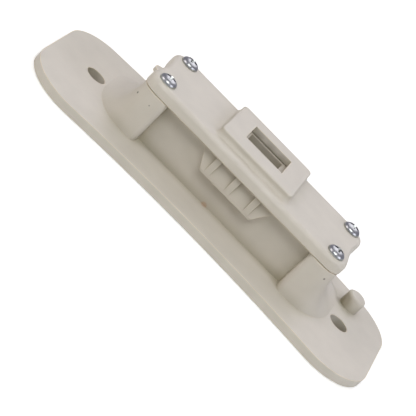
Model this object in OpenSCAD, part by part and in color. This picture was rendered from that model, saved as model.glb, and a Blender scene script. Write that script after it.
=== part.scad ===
// Dryer door catch: moulded carrier, drop-in catch box, cover bar with mouth, sprung keeper.
// Units are millimetres. The origin is midway between the two fixing holes, on the mounting face.
// X runs along the plate, Y across it towards the far edge, Z out of the mounting face.

/* [Plate] */
// Plate length
plate_length = 159; // [140:1:180]
// Plate width across the bow
plate_width = 66; // [58:1:76]
// Plate thickness
plate_thickness = 3.4; // [2.4:0.1:5]
// Radius of the concave near edge
near_edge_radius = 460; // [380:10:700]
// How far the near edge lies in front of the fixing holes
near_edge_reach = 32; // [30:0.5:36]
// Radius of the two near corners
plate_near_corner = 19.5; // [14:0.5:24]
// Radius of the two far corners
plate_far_corner = 17; // [10:0.5:20]

/* [Fixing] */
// Distance between the fixing holes
hole_spacing = 122.4; // [116:0.2:128]
// Fixing hole radius
hole_radius = 4; // [3:0.1:4.6]
// Peg centre along the plate
peg_x = 61; // [57:0.1:64]
// Peg centre across the plate
peg_y = 18.3; // [15:0.1:22]
// Peg radius
peg_radius = 3.85; // [2.5:0.05:4]
// Peg height above the plate
peg_height = 5.6; // [3:0.1:8]

/* [Housing] */
// Half length of the cover bar
bar_half = 47.2; // [45:0.1:49]
// Near face of the bar at its top
bar_near = -17.7; // [-19:0.1:-17]
// Far face of the bar
bar_far = 20.2; // [19.5:0.1:21.5]
// Height of the posts and the housing walls
post_top = 20.9; // [19.5:0.1:23]
// Length of each post along the bar
post_length = 12.2; // [11:0.1:13]
// How far the post ends draw in towards the far side
post_draft = 1.5; // [0.5:0.1:2]
// Near face of the housing wall
wall_near = -13.06; // [-14:0.02:-12.6]
// Thickness of the housing walls
wall_thickness = 2.2; // [1.6:0.1:2.4]
// Floor thickness under the catch box
tub_floor = 1.6; // [1.2:0.1:2]
// How far the ramps run out from the ends of the bar
ramp_run = 9.4; // [8:0.1:9.6]
// Where the ramps run out furthest, across the plate
ramp_crest = 5; // [2:0.5:7]
// Angle at which the ramps leave the plate on the near side
ramp_angle = 29; // [15:1:40]
// Angle at which the ramps leave the plate on the far side
far_angle = 8; // [5:1:14]
// How far the ramps' upper edge drops towards the far side
far_drop = 4; // [1:0.5:6]
// How far the posts spread at the foot on the near side
foot_spread = 1.9; // [1:0.1:3]

/* [Cover] */
// Thickness of the cover bar
bar_thickness = 4.8; // [4:0.1:6]
// Corner radius of the bar
bar_corner = 5.8; // [4.5:0.1:6.5]
// Rounding of the bar's upper edge
bar_edge = 1.8; // [0.8:0.1:2.4]
// Height of the mouth block above the bar
mouth_height = 3; // [2:0.1:4]
// Half length of the mouth block
mouth_half = 16.95; // [15:0.05:19]
// Near face of the mouth block
mouth_near = -12.64; // [-13:0.02:-11]
// Radius of the fillet at the block's foot
mouth_fillet = 1.8; // [1:0.1:2.8]
// Half length of the slot
slot_half = 8.8; // [8:0.1:9.4]
// Near side of the slot
slot_near = -3.1; // [-4:0.1:-2.6]
// Far side of the slot
slot_far = 12.3; // [11.8:0.1:12.6]
// Depth of the waist in each end of the bar
waist_depth = 1.1; // [0.4:0.1:1.4]

/* [Screws] */
// Distance from the bar's ends to the screws
screw_inset = 6.05; // [5.6:0.05:6.5]
// Half distance between the screws at one end
screw_half = 13.85; // [13:0.05:14.5]
// Screw head radius
head_radius = 3.75; // [3:0.05:4]
// Screw head height
head_height = 2.4; // [2:0.1:3.2]
// Screw shank radius
shank_radius = 1.9; // [1.5:0.05:2.1]
// Screw length under the head
screw_length = 16; // [12:0.5:18]

/* [Catch box] */
// Half width of the nose at its lower edge
nose_low_half = 12; // [11.4:0.1:13]
// Half width of the nose at its top
nose_top_half = 17; // [16:0.1:18]
// Height of the lower edge of the nose
nose_low = 12.7; // [11.8:0.1:13.2]
// How far the nose stands out of the housing wall
nose_reach = 3.3; // [2.8:0.1:3.6]
// How far the nose leans back at its top
nose_lean = 1.5; // [0.8:0.1:1.8]
// Width of each rib
rib_width = 2.5; // [1.6:0.1:3]
// Distance between the ribs
rib_pitch = 9.5; // [8:0.1:10]
// Width of the ledge at the far side of the striker well
collar_ledge = 1; // [0.6:0.1:1.4]
// Width of the ledge at the right end of the striker well
right_ledge = 1.7; // [1:0.1:2]
// Width of the ledge at the left end of the striker well
left_ledge = 0.9; // [0.6:0.1:1.4]

/* [Keeper] */
// Pivot height
pivot_z = 8; // [7.6:0.1:8.4]
// Pivot distance in front of the slot's middle line
pivot_y = 0; // [-0.4:0.1:0.4]
// Pivot pin radius
pin_radius = 1.25; // [1:0.05:1.4]
// Running gap round the pin
pin_gap = 0.05; // [0.03:0.01:0.08]
// Spring wire radius
wire_radius = 0.25; // [0.2:0.05:0.3]
// Spring coil radius
coil_radius = 1.7; // [1.4:0.05:1.9]
// Spring turns
coil_turns = 5; // [4:1:5]

/* [Hidden] */
half_length = plate_length / 2;
hole_x = hole_spacing / 2;
arc_y = -near_edge_reach - near_edge_radius;
far_edge_radius = near_edge_radius + plate_width;
bar_mid = (bar_near + bar_far) / 2;
screw_x = bar_half - screw_inset;
post_inner = bar_half - post_length;
bar_top = post_top + bar_thickness;
block_top = bar_top + mouth_height;
wall_in = wall_near + wall_thickness;
wall_far = 2 * bar_mid - wall_near;
far_in = wall_far - wall_thickness;
gap = 0.3;
post_round = 2;
post_inset = 0.25;
post_root = 1.2;
root_level = 1.2;
root_sink = 0.04;
lip_least = 0.4;
soft_from = -10;
sweep_power = 0.78;
parting = 0.45;
core_wall = 2.2;
core_half = 9;
post_corner = bar_corner - post_inset;
post_near = bar_near + post_inset;
post_far = bar_far - post_inset;
post_end = bar_half - post_inset;
near_centre = [post_end - post_corner, post_near + post_corner];
far_centre = [near_centre[0] - post_draft, post_far - post_corner];
foot_end = bar_half + ramp_run;
sweep_x = post_inner + post_round;
sweep_long = foot_end - sweep_x;
sweep_wide = ramp_crest - post_near + foot_spread;
far_run = foot_end - far_centre[0] - post_corner;
box_near = wall_in + gap;
box_far = far_in - gap;
box_skin = 1.5;
box_floor = tub_floor + 1.4;
box_top = post_top - gap;
rib_in = nose_top_half + gap;
cavity_half = 8.6;
cavity_near = box_near + box_skin;
cavity_far = slot_far - collar_ledge;
collar_top = bar_top + 0.2;
collar_near = slot_near - 1.6;
collar_half = slot_half + 1.6;
nose_front = wall_near - nose_reach;
nose_skin = 1.5;
pin_half = 11.4;
barrel_r = 2.6;
spring_y = -6.4;
tail_under = pivot_z + 1;
keeper_half = 6;
hook_tip = -0.4;
hook_top = 18.2;
hook_depth = 3.6;
arm_back = -7.2;
arm_width = 2.6;
tail_half = 3;
tail_reach = 8.2;
tail_thick = 1.6;
nub_radius = 2.6;
nub_reach = 1.7;
nub_height = 1.6;
mouth_corner = 1.8;
mouth_edge = 0.6;

// Shared forms

// Closed skin through rings of equally many points, listed from the lowest ring up
module skin(rings) {
    n = len(rings[0]);
    last = len(rings) - 1;
    sides = [for (k = [0 : last - 1], i = [0 : n - 1], t = [0, 1])
        let (a = k * n + i, b = k * n + (i + 1) % n)
        t == 0 ? [a, b + n, b] : [a, a + n, b + n]];
    lowest = [[for (i = [0 : n - 1]) i]];
    highest = [[for (i = [n - 1 : -1 : 0]) last * n + i]];
    polyhedron(points = [for (ring = rings, p = ring) p],
        faces = concat(lowest, sides, highest), convexity = 6);
}

// Quarter turn of points round a centre
function turn(centre, r, from, z) = [for (a = [from : 15 : from + 90])
    [centre[0] + r * cos(a), centre[1] + r * sin(a), z]];

// Plate

function corner_y(big, r) = arc_y + sqrt(big * big - pow(half_length - r, 2));

module corner_cut(side, r, cy, arc_r, push) {
    cx = half_length - r;
    dir = [cx, cy - arc_y] / norm([cx, cy - arc_y]);
    tangent = [0, arc_y] + dir * arc_r;
    centre = [cx, cy];
    past = centre + (tangent - centre) * 1.3;
    mirror([side < 0 ? 1 : 0, 0, 0])
        difference() {
            translate([0, 0, -1])
                linear_extrude(height = plate_thickness + 2)
                    polygon([centre, past, [half_length + 3, past[1] + push * 3], [half_length + 3, cy]]);
            translate([cx, cy, -2]) cylinder(r = r, h = plate_thickness + 4, $fn = 96);
        }
}

module plate() {
    near_r = plate_near_corner;
    far_r = plate_far_corner;
    difference() {
        intersection() {
            difference() {
                translate([0, arc_y, 0]) cylinder(r = far_edge_radius, h = plate_thickness, $fn = 720);
                translate([0, arc_y, -1]) cylinder(r = near_edge_radius, h = plate_thickness + 2, $fn = 720);
            }
            translate([-half_length, -plate_width, -0.5])
                cube([plate_length, 2 * plate_width, plate_thickness + 1]);
        }
        for (side = [-1, 1]) {
            corner_cut(side, near_r, corner_y(near_edge_radius + near_r, near_r), near_edge_radius, -1);
            corner_cut(side, far_r, corner_y(far_edge_radius - far_r, far_r), far_edge_radius, 1);
        }
    }
}

// Posts with concave ramps, skinned from the foot line up to the post's outline under the bar

function end_x(y) = post_end - post_draft * (y - near_centre[1]) / (far_centre[1] - near_centre[1]);

// Point of the post's outline that stands over a point of the near quarter of the foot line
function over(p) =
    p[1] >= near_centre[1] ? [end_x(p[1]), p[1]] :
    p[0] <= near_centre[0] ? [p[0], post_near] :
    near_centre + (p - near_centre) / norm(p - near_centre) * post_corner;

// How far a place has come over from the near side to the far side, from 0 to 1
function ease(y) = let (t = (y - soft_from) / (far_centre[1] - soft_from))
    t < 0 ? 0 : t > 1 ? 1 : (1 - cos(180 * t)) / 2;

// Foot line and outline, in step: inner corner, near sweep, straight end, far corner, back
inner_angles = [180 : 15 : 255];
inner_foot = [for (a = inner_angles)
    [sweep_x + post_round * cos(a), post_near + post_round + (post_round + foot_spread) * sin(a)]];
inner_top = [for (a = inner_angles)
    [sweep_x + post_round * cos(a), post_near + post_round + post_round * sin(a)]];
sweep_foot = [for (a = [0 : 3 : 90])
    [sweep_x + sweep_long * pow(sin(a), sweep_power), ramp_crest - sweep_wide * pow(cos(a), sweep_power)]];
end_top = [for (k = [1 : 7])
    let (y = ramp_crest + (far_centre[1] - ramp_crest) * k / 8) [end_x(y), y]];
end_foot = [for (p = end_top) [foot_end, p[1]]];
far_angles = [0 : 9 : 90];
far_foot = [for (a = far_angles)
    far_centre + (post_corner + post_root + (far_run - post_root) * cos(a)) * [cos(a), sin(a)]];
far_top = [for (a = far_angles) far_centre + post_corner * [cos(a), sin(a)]];
foot_line = concat(inner_foot, sweep_foot, end_foot, far_foot, [[post_inner, post_far + post_root]]);
top_line = concat(inner_top, [for (p = sweep_foot) over(p)], end_top, far_top, [[post_inner, post_far]]);

// Share of the run and height of the ramp at step t, from 0 at the foot to 1 at the upper edge
function ramp_point(t, soft) =
    let (low = ramp_angle + (far_angle - ramp_angle) * soft, a = low + (90 - low) * t,
         lip = post_top - lip_least - far_drop * soft)
    [(1 - sin(a)) / (1 - sin(low)),
     t == 0 ? plate_thickness - root_sink
            : plate_thickness + (lip - plate_thickness) * (cos(low) - cos(a)) / cos(low)];

module post() {
    steps = 14;
    last = len(foot_line) - 1;
    root = [for (p = foot_line) [p[0], p[1], root_level]];
    rim = [for (p = top_line) [p[0], p[1], post_top]];
    ramp = [for (k = [0 : steps]) [for (i = [0 : last])
        let (l = ramp_point(k / steps, ease(foot_line[i][1])),
             q = top_line[i] + (foot_line[i] - top_line[i]) * l[0])
        [q[0], q[1], l[1]]]];
    skin(concat([root], ramp, [rim]));
}

module screw_bore() {
    for (s = [-1, 1])
        translate([screw_x, bar_mid + s * screw_half, post_top - screw_length + bar_thickness - 1.2])
            cylinder(r = shank_radius + 0.05, h = screw_length, $fn = 48);
}

// Hollow moulded from below, which keeps the post to an even wall
module post_core() {
    translate([post_inner + core_wall, bar_mid - core_half, -1])
        cube([post_end - post_draft - post_inner - 2 * core_wall, 2 * core_half, post_top - core_wall + 1]);
}

module notch() {
    translate([0, wall_in + 1, 0]) rotate([90, 0, 0])
        linear_extrude(height = wall_thickness + 2)
            polygon([[-nose_low_half - gap, nose_low - gap], [nose_low_half + gap, nose_low - gap],
                     [nose_top_half + gap, post_top + 0.02], [nose_top_half + gap, post_top + 1],
                     [-nose_top_half - gap, post_top + 1], [-nose_top_half - gap, post_top + 0.02]]);
}

module peg() {
    translate([peg_x, peg_y, plate_thickness - 1])
        rotate_extrude($fn = 64)
            polygon([[0, 0], [peg_radius, 0], [peg_radius, peg_height],
                     [peg_radius - 0.25, peg_height + 0.6], [peg_radius - 0.9, peg_height + 1], [0, peg_height + 1]]);
}

module carrier() color("#d3cab4") {
    difference() {
        union() {
            plate();
            post();
            mirror([1, 0, 0]) post();
            // near wall, far wall and the two cross ribs beside the catch box
            translate([-post_inner - 1, wall_near, 1])
                cube([2 * post_inner + 2, wall_thickness, post_top - 1]);
            translate([-post_inner - 1, far_in, 1])
                cube([2 * post_inner + 2, wall_thickness, post_top - 1]);
            for (s = [-1, 1])
                translate([s * (rib_in + 1) - 1, wall_near + 1, 1])
                    cube([2, wall_far - wall_near - 2, post_top - 1]);
            // rounded locating nub in the left end
            translate([-bar_half + nub_radius - nub_reach, bar_mid + nub_radius, post_top - nub_height])
                cylinder(r = nub_radius, h = nub_height, $fn = 48);
            peg();
        }
        // fixing holes and screw bores
        for (s = [-1, 1])
            translate([s * hole_x, 0, -1]) cylinder(r = hole_radius, h = plate_thickness + 2, $fn = 64);
        screw_bore();
        mirror([1, 0, 0]) screw_bore();
        post_core();
        mirror([1, 0, 0]) post_core();
        notch();
        // floor of the middle cell lowered to take the catch box
        translate([-rib_in, wall_in, tub_floor])
            cube([2 * rib_in, far_in - wall_in, plate_thickness]);
    }
}

// Catch box

module box_profile(front, back, low) {
    translate([0, back, 0]) rotate([90, 0, 0])
        linear_extrude(height = back - front)
            polygon([[-nose_low_half, low], [nose_low_half, low], [nose_low_half, nose_low],
                     [nose_top_half, box_top], [-nose_top_half, box_top], [-nose_low_half, nose_low]]);
}

// Side view of the nose shell, drawn in Y and Z
module nose_side(front, lean, half) {
    rotate([90, 0, 90])
        translate([0, 0, -half])
            linear_extrude(height = 2 * half)
                polygon([[box_near + 0.5, nose_low], [front, nose_low], [front, nose_low + 0.9],
                         [front + lean, box_top], [box_near + 0.5, box_top]]);
}

module nose() {
    intersection() {
        union() {
            nose_side(nose_front, nose_lean, nose_top_half);
            for (i = [-1, 0, 1])
                translate([i * rib_pitch, 0, 0])
                    nose_side(nose_front, 0.1, rib_width / 2);
        }
        box_profile(nose_front - 1, box_near + 1, nose_low);
    }
}

module catch_box() color("#cfc6b0") {
    difference() {
        union() {
            box_profile(box_near, box_far, tub_floor);
            nose();
            // collar that rises into the cover
            translate([-collar_half, collar_near, box_top - 1])
                cube([2 * collar_half, box_far - collar_near, collar_top - box_top + 1]);
        }
        // striker well, with a ledge at each end near the mouth
        translate([-slot_half + left_ledge, slot_near + 0.1, box_floor])
            cube([2 * slot_half - left_ledge - right_ledge, cavity_far - slot_near - 0.1, collar_top]);
        // keeper room below the collar
        translate([-cavity_half, cavity_near, box_floor])
            cube([2 * cavity_half, cavity_far - cavity_near, box_top - 1.5 - box_floor]);
        // swing room inside the nose
        translate([-cavity_half, nose_front + nose_lean + nose_skin, nose_low + nose_skin])
            cube([2 * cavity_half, cavity_near - nose_front - nose_lean, box_top - 1.5 - nose_low - nose_skin]);
        // window in the near wall, which lets the keeper swing into the nose
        translate([-keeper_half - 0.8, box_near - 0.44, pivot_z + 2.4])
            cube([2 * keeper_half + 1.6, box_skin + 1, box_top - 1.5 - pivot_z - 2.4]);
        // pin holes
        translate([-pin_half, pivot_y, pivot_z]) rotate([0, 90, 0])
            cylinder(r = pin_radius + 0.01, h = 2 * pin_half, $fn = 48);
    }
    // locating stub under the spring
    translate([0, spring_y, box_floor - 0.4])
        cylinder(r = coil_radius - wire_radius - 0.2, h = 1.2, $fn = 32);
}

// Cover bar

// Right half of the bar's outline, drawn in by d, with a waist between the screws
function bar_side(d, z) =
    let (r = bar_corner - d, x = bar_half - bar_corner, half = bar_mid - bar_near - bar_corner)
    concat(turn([x, bar_near + bar_corner], r, -90, z),
        [for (t = [-0.8 : 0.2 : 0.8])
            [bar_half - d - waist_depth * (1 + cos(180 * t)) / 2, bar_mid + t * half, z]],
        turn([x, bar_far - bar_corner], r, 0, z));

// Whole outline from its right half
function both_sides(right) = concat(right,
    [for (i = [len(right) - 1 : -1 : 0]) [-right[i][0], right[i][1], right[i][2]]]);

// Rounding of an upper edge: pairs of inset and height
function edge_steps(r, top) = [for (a = [0 : 18 : 90]) [r * (1 - cos(a)), top - r * (1 - sin(a))]];

// The foot is drawn in, which leaves the parting shadow under the bar
module bar_body() {
    levels = concat([[parting, post_top], [parting, post_top + parting / 2], [0, post_top + parting]],
        edge_steps(bar_edge, bar_top));
    skin([for (l = levels) both_sides(bar_side(l[0], l[1]))]);
}

// Right half of the block's outline, drawn out by d, with its far side at a given place
function mouth_side(d, far, z) =
    concat(turn([mouth_half - mouth_corner, mouth_near + mouth_corner], mouth_corner + d, -90, z),
        turn([mouth_half - mouth_corner, far - mouth_corner - d], mouth_corner + d, 0, z));

module mouth_block() {
    levels = concat([[0, bar_top - bar_edge - 0.5]], edge_steps(mouth_edge, block_top));
    skin([for (l = levels) both_sides(mouth_side(-l[0], bar_far - l[0], l[1]))]);
    // concave fillet at the foot, which gives way to the bar's own rounding at the far side
    fillet = concat([[1, -0.3]], [for (a = [0 : 15 : 90]) [1 - sin(a), 1 - cos(a)]]);
    skin([for (f = fillet) both_sides(mouth_side(mouth_fillet * f[0], bar_far - 0.05 - bar_edge * f[0],
        bar_top + mouth_fillet * f[1]))]);
}

module cover() color("#d6cdb8") {
    difference() {
        union() {
            bar_body();
            mouth_block();
        }
        for (x = [-1, 1], s = [-1, 1])
            translate([x * screw_x, bar_mid + s * screw_half, post_top - 1])
                cylinder(r = shank_radius + 0.2, h = bar_thickness + 2, $fn = 48);
        // slot and the recess for the collar
        translate([-slot_half, slot_near, post_top - 1])
            cube([2 * slot_half, slot_far - slot_near, block_top]);
        translate([-collar_half - gap, collar_near - gap, post_top - 1])
            cube([2 * (collar_half + gap), box_far + 2 * gap - collar_near, collar_top + gap - post_top + 1]);
        // hollows over the side cells
        for (s = [-1, 1])
            translate([s * (rib_in + post_inner + 2) / 2 - (post_inner - rib_in - 5) / 2,
                       wall_in + 1.5, post_top - 1])
                cube([post_inner - rib_in - 5, far_in - wall_in - 3, bar_thickness - 1.2]);
    }
}

// Keeper: bell crank with a hook over the striker well and a tail over the spring

module keeper() color("#b9b3a4") {
    difference() {
        union() {
            translate([-cavity_half + 0.4, pivot_y, pivot_z]) rotate([0, 90, 0])
                cylinder(r = barrel_r, h = 2 * cavity_half - 0.8, $fn = 64);
            rotate([90, 0, 90]) translate([0, 0, -keeper_half])
                linear_extrude(height = 2 * keeper_half)
                    polygon([[pivot_y + 0.54 * barrel_r, pivot_z + 0.58 * barrel_r],
                             [pivot_y - 0.85 * barrel_r, pivot_z + 0.46 * barrel_r],
                             [arm_back, hook_top - 2 * arm_width], [arm_back, hook_top], [arm_back + 2.4, hook_top],
                             [hook_tip, hook_top - arm_width], [hook_tip, hook_top - hook_depth],
                             [arm_back + arm_width, hook_top - hook_depth],
                             [arm_back + arm_width + 0.3, hook_top - 2 * arm_width + 0.2]]);
            translate([-tail_half, pivot_y - tail_reach, tail_under])
                cube([2 * tail_half, tail_reach, tail_thick]);
            // lug that rests over the box floor and stops the keeper
            translate([-tail_half, pivot_y + 1, box_floor + gap])
                cube([2 * tail_half, tail_thick, pivot_z - box_floor - gap]);
        }
        translate([-cavity_half, pivot_y, pivot_z]) rotate([0, 90, 0])
            cylinder(r = pin_radius + pin_gap, h = 2 * cavity_half, $fn = 64);
    }
}

module pivot_pin() color("#b8bcc0") {
    translate([-pin_half + 0.1, pivot_y, pivot_z]) rotate([0, 90, 0])
        cylinder(r = pin_radius, h = 2 * pin_half - 0.2, $fn = 48);
}

// Compression spring swept as a closed tube, with flattened end turns
function lift(t) = let (e = 0.12) t < e ? 0.04 * t / e : t > 1 - e ? 1 - 0.04 * (1 - t) / e :
    0.04 + 0.92 * (t - e) / (1 - 2 * e);

module keeper_spring() color("#9ea3a8") {
    steps = 20 * coil_turns;
    n = 8;
    z0 = box_floor + wire_radius + 0.02;
    z1 = tail_under - wire_radius - 0.02;
    points = [for (i = [0 : steps], j = [0 : n - 1])
        let (a = 360 * coil_turns * i / steps, b = 360 * j / n, r = coil_radius + wire_radius * cos(b))
        [r * cos(a), spring_y + r * sin(a), z0 + (z1 - z0) * lift(i / steps) + wire_radius * sin(b)]];
    sides = [for (i = [0 : steps - 1], j = [0 : n - 1], t = [0, 1])
        let (a = i * n + j, b = i * n + (j + 1) % n)
        t == 0 ? [a, b, b + n] : [a, b + n, a + n]];
    polyhedron(points = points, faces = concat([[for (j = [n - 1 : -1 : 0]) j]], sides,
        [[for (j = [0 : n - 1]) steps * n + j]]), convexity = 8);
}

// Pan-head self-tapping screw with a cross recess, its thread drawn as rings
module screw(heading) {
    under = shank_radius - 0.4;
    pitch = 1.4;
    teeth = floor((screw_length - 4) / pitch);
    ring_points = [for (k = [0 : teeth - 1], t = [0, 1, 2])
        [t == 1 ? shank_radius : under, -screw_length + 2.6 + k * pitch + (t == 0 ? 0.1 : t == 1 ? 0.5 : 0.9)]];
    dome = [for (a = [0 : 15 : 75]) [head_radius - 1.5 + 1.5 * cos(a), head_height - 1.9 + 1.5 * sin(a)]];
    difference() {
        rotate_extrude($fn = 48)
            polygon(concat([[0, -screw_length], [0.3, -screw_length], [under, -screw_length + 2.4]],
                ring_points,
                [[under, -1], [under, 0], [head_radius, 0]], dome,
                [[head_radius - 1.6, head_height - 0.3], [1, head_height], [0, head_height]]));
        rotate([0, 0, heading])
            for (a = [0, 90])
                rotate([0, 0, a])
                    translate([-2.1, -0.45, head_height - 1.5]) cube([4.2, 0.9, 2]);
        translate([0, 0, head_height - 2]) cylinder(r1 = 0.5, r2 = 1.25, h = 2.1, $fn = 32);
    }
}

module screws() color("#c3c8cc") {
    for (s = [[-1, -1, 20], [-1, 1, 52], [1, -1, 35], [1, 1, 68]])
        translate([s[0] * screw_x, bar_mid + s[1] * screw_half, bar_top]) screw(s[2]);
}

carrier();
catch_box();
cover();
keeper();
pivot_pin();
keeper_spring();
screws();
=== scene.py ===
# %% [markdown]
# This script dresses a tumble-dryer door catch: a greige plastic moulding with a raised housing, a screwed
# cover bar, a slotted mouth, and a small sprung keeper inside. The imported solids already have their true
# places and sizes in metres, so the work here is light, camera, surfaces and the fine detail on them.

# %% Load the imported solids
import math

import bmesh
import bpy
from mathutils import Matrix, Quaternion, Vector


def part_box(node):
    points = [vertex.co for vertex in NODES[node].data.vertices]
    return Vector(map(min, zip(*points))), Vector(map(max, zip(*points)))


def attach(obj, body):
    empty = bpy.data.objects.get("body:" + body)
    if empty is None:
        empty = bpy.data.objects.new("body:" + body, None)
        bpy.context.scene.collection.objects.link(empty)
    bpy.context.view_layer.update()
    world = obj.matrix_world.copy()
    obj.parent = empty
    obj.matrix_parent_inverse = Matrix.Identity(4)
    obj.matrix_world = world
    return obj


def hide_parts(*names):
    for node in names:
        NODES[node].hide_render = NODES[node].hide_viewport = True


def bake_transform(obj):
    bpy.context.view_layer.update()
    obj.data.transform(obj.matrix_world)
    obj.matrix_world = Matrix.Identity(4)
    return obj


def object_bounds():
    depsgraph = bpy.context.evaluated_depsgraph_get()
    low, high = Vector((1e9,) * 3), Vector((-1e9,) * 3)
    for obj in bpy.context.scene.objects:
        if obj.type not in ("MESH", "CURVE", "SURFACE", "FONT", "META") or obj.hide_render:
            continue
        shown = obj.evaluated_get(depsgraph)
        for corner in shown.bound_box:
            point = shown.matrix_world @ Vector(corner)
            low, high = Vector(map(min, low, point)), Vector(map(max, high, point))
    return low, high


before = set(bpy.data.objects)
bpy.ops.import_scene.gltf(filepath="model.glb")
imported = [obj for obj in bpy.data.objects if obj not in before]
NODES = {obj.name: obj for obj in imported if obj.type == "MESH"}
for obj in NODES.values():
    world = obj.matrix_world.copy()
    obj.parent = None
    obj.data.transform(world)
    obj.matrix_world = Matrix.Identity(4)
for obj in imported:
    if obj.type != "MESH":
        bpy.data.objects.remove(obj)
CAD_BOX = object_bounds()
MM = 0.001
print("solids", sorted(NODES), "box", CAD_BOX)

# %% [markdown]
# A long lens from far back keeps parallel edges nearly parallel, as product photographs have them. The part
# lies on its mounting face and is seen from a low height, with the camera rolled so that the part runs from
# the upper left to the lower right. Its place was solved from the two holes, the four screws and the edges.

# %% Camera
CAMERA_PLACE = Vector((-13.53, -644.08, 261.45)) * MM
CAMERA_HEADING = math.radians(1.1825)
CAMERA_DIP = math.radians(22.200)
CAMERA_ROLL = math.radians(46.065)
CAMERA_REACH = 20
LENS_MM = 169.956
SENSOR_MM = 36.0

view_line = Vector((
    math.cos(CAMERA_DIP) * math.sin(CAMERA_HEADING),
    math.cos(CAMERA_DIP) * math.cos(CAMERA_HEADING),
    -math.sin(CAMERA_DIP),
))
level_turn = view_line.to_track_quat("-Z", "Y")
camera_data = bpy.data.cameras.new("camera")
camera_data.lens = LENS_MM
camera_data.sensor_width = SENSOR_MM
camera_data.clip_end = CAMERA_REACH
camera = bpy.data.objects.new("camera", camera_data)
bpy.context.scene.collection.objects.link(camera)
camera.rotation_mode = "QUATERNION"
camera.rotation_quaternion = level_turn @ Quaternion((0, 0, 1), CAMERA_ROLL)
camera.location = CAMERA_PLACE
bpy.context.scene.camera = camera
bpy.context.scene.view_settings.view_transform = "Standard"
print("camera at", tuple(round(v, 4) for v in CAMERA_PLACE))

# %% [markdown]
# Colours are written as the hex values that a paint program shows. The renderer works in linear light, so
# one function turns each value. One more function adds a shader node with its settings and links.

# %% Colour and node helpers
def linear(hex_colour):
    """sRGB hex to a linear RGBA tuple."""
    channels = [int(hex_colour[i:i + 2], 16) / 255 for i in (0, 2, 4)]
    turned = [c / 12.92 if c <= 0.04045 else ((c + 0.055) / 1.055) ** 2.4 for c in channels]
    return (*turned, 1.0)


def add(tree, kind, settings=None, **links):
    """Adds a node. Settings name its properties or input sockets, and links give an input its socket."""
    made = tree.nodes.new(kind)
    for key, value in (settings or {}).items():
        if isinstance(key, str) and hasattr(made, key):
            setattr(made, key, value)
        else:
            made.inputs[key].default_value = value
    for key, socket in links.items():
        slot = int(key[1:]) if key[0] == "i" and key[1:].isdigit() else key.replace("_", " ")
        tree.links.new(socket, made.inputs[slot])
    return made


def new_material(name):
    """An empty node material and its tree."""
    made = bpy.data.materials.new(name)
    made.use_nodes = True
    made.node_tree.nodes.clear()
    return made, made.node_tree


print("mid grey in linear light", tuple(round(c, 3) for c in linear("808080")))

# %% [markdown]
# The surroundings are white, as in a light tent. The sky of the tent is brighter than its sides. Reflections
# see the tent's cloth itself, which is brighter than the little light that it gives, and the camera sees
# plain white.

# %% World
SIDE_STRENGTH = 0.103
SKY_STRENGTH = 0.08
TENT_STRENGTH = 0.46
TENT_LIGHT_HEX = "F9FFCF"
TENT_CLOTH_HEX = "E5E2FF"
WHITE = (1, 1, 1, 1)

world = bpy.data.worlds.new("light tent")
world.use_nodes = True
world.node_tree.nodes.clear()
sky = world.node_tree
ray = add(sky, "ShaderNodeLightPath")
seen = add(sky, "ShaderNodeMath", {"operation": "MAXIMUM"}, i0=ray.outputs["Is Camera Ray"],
           i1=ray.outputs["Is Transmission Ray"])
way = add(sky, "ShaderNodeSeparateXYZ", None, i0=add(sky, "ShaderNodeTexCoord").outputs["Generated"])
level = add(sky, "ShaderNodeMapRange", {"From Min": 0.0, "From Max": 1.0, "To Min": SIDE_STRENGTH,
                                        "To Max": SIDE_STRENGTH + SKY_STRENGTH}, Value=way.outputs["Z"])
glowing = add(sky, "ShaderNodeBackground", {"Color": linear(TENT_LIGHT_HEX)}, Strength=level.outputs[0])
cloth = add(sky, "ShaderNodeBackground", {"Color": linear(TENT_CLOTH_HEX), "Strength": TENT_STRENGTH})
lit = add(sky, "ShaderNodeMixShader", None, i0=ray.outputs["Is Glossy Ray"], i1=glowing.outputs[0],
          i2=cloth.outputs[0])
shown = add(sky, "ShaderNodeBackground", {"Color": WHITE, "Strength": 1.0})
either = add(sky, "ShaderNodeMixShader", None, i0=seen.outputs[0], i1=lit.outputs[0], i2=shown.outputs[0])
add(sky, "ShaderNodeOutputWorld", None, Surface=either.outputs[0])
bpy.context.scene.world = world
print("tent sides", SIDE_STRENGTH, "sky", SIDE_STRENGTH + SKY_STRENGTH)

# %% [markdown]
# Four soft lamps light the part. One hangs high in front. A wider one hangs high behind, and the housing
# shades the strip of flange before it from that one, which gives the object its form. Two weaker ones fill
# the ends from the left and the right.

# %% Lamps
LAMPS = {
    "front_high": ((0.0, -0.6, 0.9), 0.5, 4.6, "F8FAFF"),
    "behind": ((0.0, 0.6, 0.75), 0.8, 3.7, "F3F0FF"),
    "left_fill": ((-0.9, -0.3, 0.5), 0.6, 2.95, "FEF6FF"),
    "right_fill": ((0.9, -0.3, 0.5), 0.6, 3.4, "E9EAFF"),
}
for lamp_name, (place, width, watts, lamp_hex) in LAMPS.items():
    lamp_data = bpy.data.lights.new(lamp_name, "AREA")
    lamp_data.shape = "SQUARE"
    lamp_data.size = width
    lamp_data.energy = watts
    lamp_data.color = linear(lamp_hex)[:3]
    lamp = bpy.data.objects.new(lamp_name, lamp_data)
    bpy.context.scene.collection.objects.link(lamp)
    lamp.location = place
    lamp.rotation_euler = (-Vector(place)).to_track_quat("-Z", "Y").to_euler()
print("lamps", sorted(LAMPS))

# %% [markdown]
# The floor is white card. It is a little brighter to the camera than its light would make it, so it meets the
# white surroundings without an edge, and it still takes the part's soft shadow. Right under the part lies
# painted shade: a dark patch without glow, a size smaller than the plate, which the two fixing holes look
# into.

# %% Floor material
CARD_HEX = "F4F3F1"
CARD_GLOW = 0.32
# painted shade: a dark patch under the part, which the fixing holes look into
SHADE_MAT_HEX = "4E4434"
SHADE_MAT_HALF = (0.072, 0.012)

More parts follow.
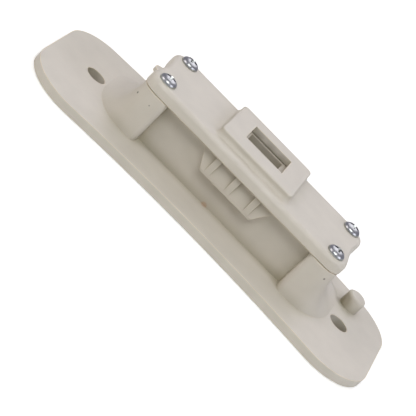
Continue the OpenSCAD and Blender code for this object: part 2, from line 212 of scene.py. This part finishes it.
floor_material, tree = new_material("white card")
spot = add(tree, "ShaderNodeTexCoord").outputs["Object"]
under_shade_mat = None
for axis, half in zip("XY", SHADE_MAT_HALF):
    along = add(tree, "ShaderNodeSeparateXYZ", None, i0=spot).outputs[axis]
    size = add(tree, "ShaderNodeMath", {"operation": "ABSOLUTE"}, i0=along)
    within_shade_mat = add(tree, "ShaderNodeMath", {"operation": "LESS_THAN", 1: half}, i0=size.outputs[0])
    under_shade_mat = within_shade_mat if under_shade_mat is None else add(tree, "ShaderNodeMath", {"operation": "MULTIPLY"},
                                               i0=under_shade_mat.outputs[0], i1=within_shade_mat.outputs[0])
paint = add(tree, "ShaderNodeMix", {"data_type": "RGBA", 6: linear(CARD_HEX), 7: linear(SHADE_MAT_HEX)},
            i0=under_shade_mat.outputs[0])
card = add(tree, "ShaderNodeBsdfDiffuse", None, Color=paint.outputs[2])
camera_ray = add(tree, "ShaderNodeLightPath").outputs["Is Camera Ray"]
bare = add(tree, "ShaderNodeMath", {"operation": "SUBTRACT", 0: 1.0}, i1=under_shade_mat.outputs[0])
to_camera = add(tree, "ShaderNodeMath", {"operation": "MULTIPLY"}, i0=camera_ray, i1=bare.outputs[0])
strength = add(tree, "ShaderNodeMath", {"operation": "MULTIPLY", 1: CARD_GLOW}, i0=to_camera.outputs[0])
glow = add(tree, "ShaderNodeEmission", {"Color": WHITE}, Strength=strength.outputs[0])
card_and_glow = add(tree, "ShaderNodeAddShader", None, i0=card.outputs[0], i1=glow.outputs[0])
add(tree, "ShaderNodeOutputMaterial", None, Surface=card_and_glow.outputs[0])
print("card with a mat of", [round(2 * half / MM) for half in SHADE_MAT_HALF], "mm")

# %% [markdown]
# The card is one flat sheet that lies a little below the part, so it doesn't touch the mounting face. One
# function turns a new form into an object at the origin, and the later pieces use it too.

# %% Floor
FLOOR_HALF = 3.0
FLOOR_GAP_MM = 0.2


def as_object(name, form, material=None):
    """Turns a bmesh into a linked object."""
    mesh = bpy.data.meshes.new(name)
    form.to_mesh(mesh)
    form.free()
    mesh.materials.clear()
    if material:
        mesh.materials.append(material)
    made = bpy.data.objects.new(name, mesh)
    bpy.context.scene.collection.objects.link(made)
    return made


sheet = bmesh.new()
bmesh.ops.create_grid(sheet, x_segments=1, y_segments=1, size=FLOOR_HALF)
bmesh.ops.translate(sheet, verts=sheet.verts, vec=(0, 0, CAD_BOX[0][2] - FLOOR_GAP_MM * MM))
floor = as_object("floor", sheet, floor_material)
print("floor of", 2 * FLOOR_HALF, "m a side")

# %% [markdown]
# The body is a moulded styrenic or acetal plastic in light greige. A spark-eroded mould gives it a fine grain
# of a few tenths of a millimetre, so it is satin, and thick sections look slightly mottled. A moulding has no
# truly sharp edge, so the shading rounds each one by a few tenths of a millimetre. Painted shade darkens the
# corners and crevices a little, and a painted highlight makes the open outer edges a little paler and warmer.
# Marks are small round places with a colour of their own, and places of the same kind also paint shade into
# hollows.

# %% Moulded plastic
PLASTIC_IOR = 1.48
GRAIN_MM = 0.45
GRAIN_DEPTH_MM = 0.02
MOTTLE_MM = 9.0
MOTTLE_SPREAD = {"From Min": 0.3, "From Max": 0.7, "To Min": 0.965, "To Max": 1.02}
EDGE_MM = 0.4
EDGE_SAMPLES = 6
CAVITY_MM = 5.0
CAVITY_SHADE_RANGE = {"From Min": 0.35, "From Max": 0.95, "To Min": 1.0, "To Max": 0.0}
CAVITY_OPEN = {"From Min": 0.6, "From Max": 0.9}
CAVITY_SHADE_HEX = "D8D6C8"
EDGE_HIGHLIGHT_MM = 0.8
EDGE_HIGHLIGHT_TURN = {"From Min": 0.78, "From Max": 0.985}
EDGE_HIGHLIGHT_HEX = "F4E6CE"
NEAR_SAMPLES = 8
MARK_CORE = 0.55


def moulded_plastic(name, hex_colour, roughness=0.46, grain=0.10, edge_highlight=0.85, marks_and_shade=()):
    """Satin plastic. edge_highlight is how strong the painted highlight on its edges is, and marks_and_shade
    are (place in mm, radius in mm, hex colour, strength) of real marks and of painted shade."""
    made, tree = new_material(name)
    place = add(tree, "ShaderNodeTexCoord").outputs["Object"]
    mottle = add(tree, "ShaderNodeTexNoise", {"Scale": 1 / (MOTTLE_MM * MM), "Detail": 3.0}, Vector=place)
    spread = add(tree, "ShaderNodeMapRange", MOTTLE_SPREAD, Value=mottle.outputs[0])
    colour = add(tree, "ShaderNodeMix", {"data_type": "RGBA", "blend_type": "MULTIPLY", 0: 1.0,
                                         6: linear(hex_colour)}, i7=spread.outputs[0]).outputs[2]

    # painted shade: the colour darkens in corners and crevices, where other faces of the part lie close
    near = add(tree, "ShaderNodeAmbientOcclusion",
               {"samples": NEAR_SAMPLES, "only_local": True, "Distance": CAVITY_MM * MM}).outputs["AO"]
    shade_amount = add(tree, "ShaderNodeMapRange", CAVITY_SHADE_RANGE, Value=near)
    shade = add(tree, "ShaderNodeMix", {"data_type": "RGBA", 6: WHITE, 7: linear(CAVITY_SHADE_HEX)},
                i0=shade_amount.outputs[0])
    colour = add(tree, "ShaderNodeMix", {"data_type": "RGBA", "blend_type": "MULTIPLY", 0: 1.0},
                 i6=colour, i7=shade.outputs[2]).outputs[2]

    # painted highlight: open outer edges turn towards a warm pale colour, where their rounding catches the
    # light
    highlight_normal = add(tree, "ShaderNodeBevel", {"samples": NEAR_SAMPLES, "Radius": EDGE_HIGHLIGHT_MM * MM}).outputs[0]
    flat = add(tree, "ShaderNodeNewGeometry").outputs["Normal"]
    turn = add(tree, "ShaderNodeVectorMath", {"operation": "DOT_PRODUCT"}, i0=highlight_normal, i1=flat)
    edge_mask = add(tree, "ShaderNodeMapRange", {**EDGE_HIGHLIGHT_TURN, "To Min": edge_highlight, "To Max": 0.0},
                    Value=turn.outputs["Value"])
    open_mask = add(tree, "ShaderNodeMapRange", CAVITY_OPEN, Value=near)
    edge_highlight_mask = add(tree, "ShaderNodeMath", {"operation": "MULTIPLY"}, i0=edge_mask.outputs[0],
                 i1=open_mask.outputs[0])
    colour = add(tree, "ShaderNodeMix", {"data_type": "RGBA", 7: linear(EDGE_HIGHLIGHT_HEX)},
                 i0=edge_highlight_mask.outputs[0], i6=colour).outputs[2]

    # each place fades from its colour at the centre to none at its radius: real marks, and also painted shade
    for centre, radius, mark_hex, strength in marks_and_shade:
        away = add(tree, "ShaderNodeVectorMath", {"operation": "DISTANCE", 1: Vector(centre) * MM}, i0=place)
        fade = {"From Min": radius * MARK_CORE * MM, "From Max": radius * MM,
                "To Min": strength, "To Max": 0.0}
        mask = add(tree, "ShaderNodeMapRange", fade, Value=away.outputs["Value"])
        colour = add(tree, "ShaderNodeMix", {"data_type": "RGBA", 7: linear(mark_hex)},
                     i0=mask.outputs[0], i6=colour).outputs[2]

    fine = add(tree, "ShaderNodeTexNoise", {"Scale": 1 / (GRAIN_MM * MM), "Detail": 2.0}, Vector=place)
    edge = add(tree, "ShaderNodeBevel", {"samples": EDGE_SAMPLES, "Radius": EDGE_MM * MM})
    relief = add(tree, "ShaderNodeBump", {"Strength": grain, "Distance": GRAIN_DEPTH_MM * MM},
                 Height=fine.outputs[0], Normal=edge.outputs[0])
    shader = add(tree, "ShaderNodeBsdfPrincipled", {"Roughness": roughness, "IOR": PLASTIC_IOR},
                 Base_Color=colour, Normal=relief.outputs[0])
    add(tree, "ShaderNodeOutputMaterial", None, Surface=shader.outputs[0])
    return made


print("grain", GRAIN_MM, "mm, mottle", MOTTLE_MM, "mm, edges", EDGE_MM, "mm")

# %% [markdown]
# These four pieces keep the shapes of the imported solids, so each only gets its material. The carrier has one
# light brown speck at the foot of its near wall and three small dark dots on its posts. Painted shade darkens
# its two fixing holes deeper down and round the foot of the peg. Painted shade also makes the slot in the
# cover darker further down, and the insert darker round the middle of its top.

# %% Plastic pieces
def dress(node, material):
    """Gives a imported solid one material."""
    mesh = NODES[node].data
    mesh.materials.clear()
    mesh.materials.append(material)


CARRIER_MARKS_AND_SHADE = [
    # a real light brown speck at the foot of the near wall
    ((-2.4, -13.1, 3.5), 1.5, "B07E50", 0.4),
    # painted shade in the two fixing holes, darker deeper down
    ((-61.2, 0.0, -1.5), 6.2, "65532C", 0.2),
    ((63.2, 0.6, -2.2), 5.6, "65532C", 0.5),
    # painted shade round the foot of the peg
    ((57.3, 17.0, 4.6), 2.4, "6E6243", 0.3),
    ((57.9, 15.6, 5.4), 3.6, "7C7153", 0.42),
    # three real small dark dots on the posts
    ((-45.8, -15.3, 16.2), 0.5, "3A3226", 0.85),
    ((44.7, -16.4, 17.6), 0.5, "4A4236", 0.7),
    ((-39.8, -17.6, 16.6), 0.35, "6A6252", 0.6),
]
# painted shade: the slot in the cover darker further down, and the insert darker round the middle of its top
SLOT_SHADE = [((x, 12.5, 23.5), 5.0, "6A6252", 0.45) for x in (-6.0, 0.0, 6.0)]
WELL_SHADE = [((0.0, 3.0, 24.0), 14.0, "6A6252", 0.3)]
PLASTICS = {
    "carrier": moulded_plastic("greige moulded plastic", "D3CCBF", marks_and_shade=CARRIER_MARKS_AND_SHADE),
    "cover": moulded_plastic("greige cover plastic", "D5CEC1", marks_and_shade=SLOT_SHADE),
    "catch_box": moulded_plastic("greige insert plastic", "C9C1B2", edge_highlight=0.3, marks_and_shade=WELL_SHADE),
    "keeper": moulded_plastic("acetal", "C9C4B8", roughness=0.34, grain=0.04),
}
for node, plastic in PLASTICS.items():
    dress(node, plastic)
print("plastic on", list(PLASTICS))

# %% [markdown]
# Screws are steel with a thin bright zinc plate: a cool light metal, fairly smooth, with faint tumbling
# marks, and painted shade darkens the recess. The pin is ground steel and the spring is drawn wire, which is a
# little darker.

# %% Metals
POLISH_LOW = 0.75
POLISH_HIGH = 1.25
SCRATCH_MM = 0.5
RECESS_SHADE_RANGE = {"From Min": 0.3, "From Max": 0.8, "To Min": 1.0, "To Max": 0.0}
RECESS_SHADE_HEX = "35353A"


def plated_steel(name, hex_colour, roughness, recess_shade_mm=0.0):
    """Bright metal with a faint uneven polish, and painted shade in recesses about as wide as recess_shade_mm.
    """
    made, tree = new_material(name)
    place = add(tree, "ShaderNodeTexCoord").outputs["Object"]
    polish = add(tree, "ShaderNodeTexNoise", {"Scale": 1 / (SCRATCH_MM * MM), "Detail": 3.0}, Vector=place)
    polish_range = {"To Min": roughness * POLISH_LOW, "To Max": roughness * POLISH_HIGH}
    rough = add(tree, "ShaderNodeMapRange", polish_range, Value=polish.outputs[0])
    shader = add(tree, "ShaderNodeBsdfPrincipled", {"Base Color": linear(hex_colour), "Metallic": 1.0},
                 Roughness=rough.outputs[0])
    # painted shade: the colour darkens towards near black in recesses such as the screws' cross
    if recess_shade_mm:
        near = add(tree, "ShaderNodeAmbientOcclusion",
                   {"samples": NEAR_SAMPLES, "only_local": True, "Distance": recess_shade_mm * MM})
        shade_amount = add(tree, "ShaderNodeMapRange", RECESS_SHADE_RANGE, Value=near.outputs["AO"])
        mixed = add(tree, "ShaderNodeMix", {"data_type": "RGBA", 6: linear(hex_colour), 7: linear(RECESS_SHADE_HEX)},
                    i0=shade_amount.outputs[0])
        tree.links.new(mixed.outputs[2], shader.inputs["Base Color"])
    add(tree, "ShaderNodeOutputMaterial", None, Surface=shader.outputs[0])
    return made


dress("pivot_pin", plated_steel("ground steel", "B9BCBF", 0.28))
print("steel on pivot_pin")

# %% [markdown]
# The keeper's tail presses the spring together when the catch opens. The spring is a copy of the imported
# one, and the triangles of a imported solid are loose, so its copy is merged first.

# %% Spring
MERGE_MM = 0.001


def merge(form, distance_mm=MERGE_MM):
    """Joins the vertices of a bmesh that lie together."""
    bmesh.ops.remove_doubles(form, verts=form.verts, dist=distance_mm * MM)


def merged_copy(node):
    """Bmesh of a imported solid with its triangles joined."""
    form = bmesh.new()
    form.from_mesh(NODES[node].data)
    merge(form)
    return form


spring_form = merged_copy("keeper_spring")
for face in spring_form.faces:
    face.smooth = True
spring_piece = as_object("compression_spring", spring_form, plated_steel("drawn spring wire", "A2A5A8", 0.3))
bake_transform(spring_piece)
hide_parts("keeper_spring")

# %% [markdown]
# The screw heads are the only bright spots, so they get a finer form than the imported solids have: a low dome
# that is spun from its profile, and a tapered cross recess that is cut into it, one arm after the other.
# Sizes are in millimetres. The shares say how much of its reach and of its half width an arm has at its open
# top, which stands above the dome, and at its floor.

# %% Screw head
HEAD_RADIUS = 3.5
HEAD_RISE = 2.3
HEAD_SKIRT = 0.35
HEAD_CHAMFER = (0.1, 0.12)
DOME_STEPS = 12
SPIN_STEPS = 64
RECESS_REACH = 2.15
RECESS_HALF = 0.5
RECESS_DEPTH = 1.7
RECESS_OVER = 0.6
TOP_SHARES = (1.25, 1.15)
FLOOR_SHARES = (0.35, 0.7)
TIDY_MM = 0.01


def spun_head():
    """Bmesh of one head, with its seat at height nought."""
    head = bmesh.new()
    outline = [(0.0, 0.0), (HEAD_RADIUS - HEAD_CHAMFER[0], 0.0), (HEAD_RADIUS, HEAD_CHAMFER[1]),
               (HEAD_RADIUS, HEAD_SKIRT)]
    for step in range(1, DOME_STEPS):
        turn = math.radians(90 * step / DOME_STEPS)
        outline.append((HEAD_RADIUS * math.cos(turn), HEAD_SKIRT + (HEAD_RISE - HEAD_SKIRT) * math.sin(turn)))
    outline.append((0.0, HEAD_RISE))
    points = [head.verts.new((r * MM, 0, z * MM)) for r, z in outline]
    lines = [head.edges.new(pair) for pair in zip(points, points[1:])]
    bmesh.ops.spin(head, geom=points + lines, cent=(0, 0, 0), axis=(0, 0, 1), angle=math.tau,
                   steps=SPIN_STEPS, use_merge=True)
    merge(head)
    bmesh.ops.recalc_face_normals(head, faces=head.faces)
    return head


def recess_arm(degrees):
    """Bmesh of one tapered arm of the driver cross that is cut out of a head."""
    arm = bmesh.new()
    bmesh.ops.create_cube(arm, size=1.0)
    for corner in arm.verts:
        deep = corner.co.z < 0
        reach_share, half_share = FLOOR_SHARES if deep else TOP_SHARES
        corner.co = Vector((
            math.copysign(RECESS_REACH * reach_share, corner.co.x),
            math.copysign(RECESS_HALF * half_share, corner.co.y),
            HEAD_RISE - RECESS_DEPTH if deep else HEAD_RISE + RECESS_OVER,
        )) * MM
    turned = Matrix.Rotation(math.radians(degrees), 3, "Z")
    bmesh.ops.rotate(arm, verts=arm.verts, cent=(0, 0, 0), matrix=turned)
    return arm


def cut_head():
    """Mesh of one head with its recess, in clean triangles."""
    body = as_object("head", spun_head())
    arms = [as_object(f"recess arm {degrees}", recess_arm(degrees)) for degrees in (0, 90)]
    for arm in arms:
        cut = body.modifiers.new(arm.name, "BOOLEAN")
        cut.operation = "DIFFERENCE"
        cut.solver = "EXACT"
        cut.object = arm
    mesh = bpy.data.meshes.new_from_object(body.evaluated_get(bpy.context.evaluated_depsgraph_get()))
    for used in [body, *arms]:
        bpy.data.objects.remove(used)
    clean = bmesh.new()
    clean.from_mesh(mesh)
    merge(clean, TIDY_MM)
    bmesh.ops.dissolve_degenerate(clean, edges=clean.edges, dist=TIDY_MM * MM)
    bmesh.ops.triangulate(clean, faces=clean.faces)
    clean.to_mesh(mesh)
    clean.free()
    return mesh


head_mesh = cut_head()
print("head faces", len(head_mesh.polygons))

# %% [markdown]
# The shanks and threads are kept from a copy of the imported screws, cut off under the head and capped. A new
# head goes on each, and each cross is turned a little differently, as hand-driven screws are.

# %% Screws
PACKED_RADIUS = 3.75
PACKED_RISE = 2.4
HEADINGS = (4.0, -6.0, 8.0, -3.0)
SHARP_ABOVE = math.radians(35)
CUT_NEAR = 1e-7

low, high = (Vector(c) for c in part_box("screws"))
seat = high.z - PACKED_RISE * MM
centres = [(x, y) for x in (low.x + PACKED_RADIUS * MM, high.x - PACKED_RADIUS * MM)
           for y in (low.y + PACKED_RADIUS * MM, high.y - PACKED_RADIUS * MM)]
screws = merged_copy("screws")
bmesh.ops.bisect_plane(screws, geom=screws.verts[:] + screws.edges[:] + screws.faces[:], dist=CUT_NEAR,
                       plane_co=(0, 0, seat), plane_no=(0, 0, 1), clear_outer=True)
bmesh.ops.holes_fill(screws, edges=[edge for edge in screws.edges if edge.is_boundary], sides=0)
for (x, y), heading in zip(centres, HEADINGS):
    placed = head_mesh.copy()
    placed.transform(Matrix.Translation((x, y, seat)) @ Matrix.Rotation(math.radians(heading), 4, "Z"))
    screws.from_mesh(placed)
    bpy.data.meshes.remove(placed)
for face in screws.faces:
    face.smooth = True
for edge in screws.edges:
    edge.smooth = edge.calc_face_angle(0.0) < SHARP_ABOVE
screw_piece = as_object("pan_head_screws", screws,
                        plated_steel("bright zinc plate", "ABADA6", 0.30, recess_shade_mm=1.4))
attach(screw_piece, "housing")
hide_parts("screws")
print("screw faces", len(screw_piece.data.polygons), "centres in mm",
      [tuple(round(c / MM, 2) for c in centre) for centre in centres])
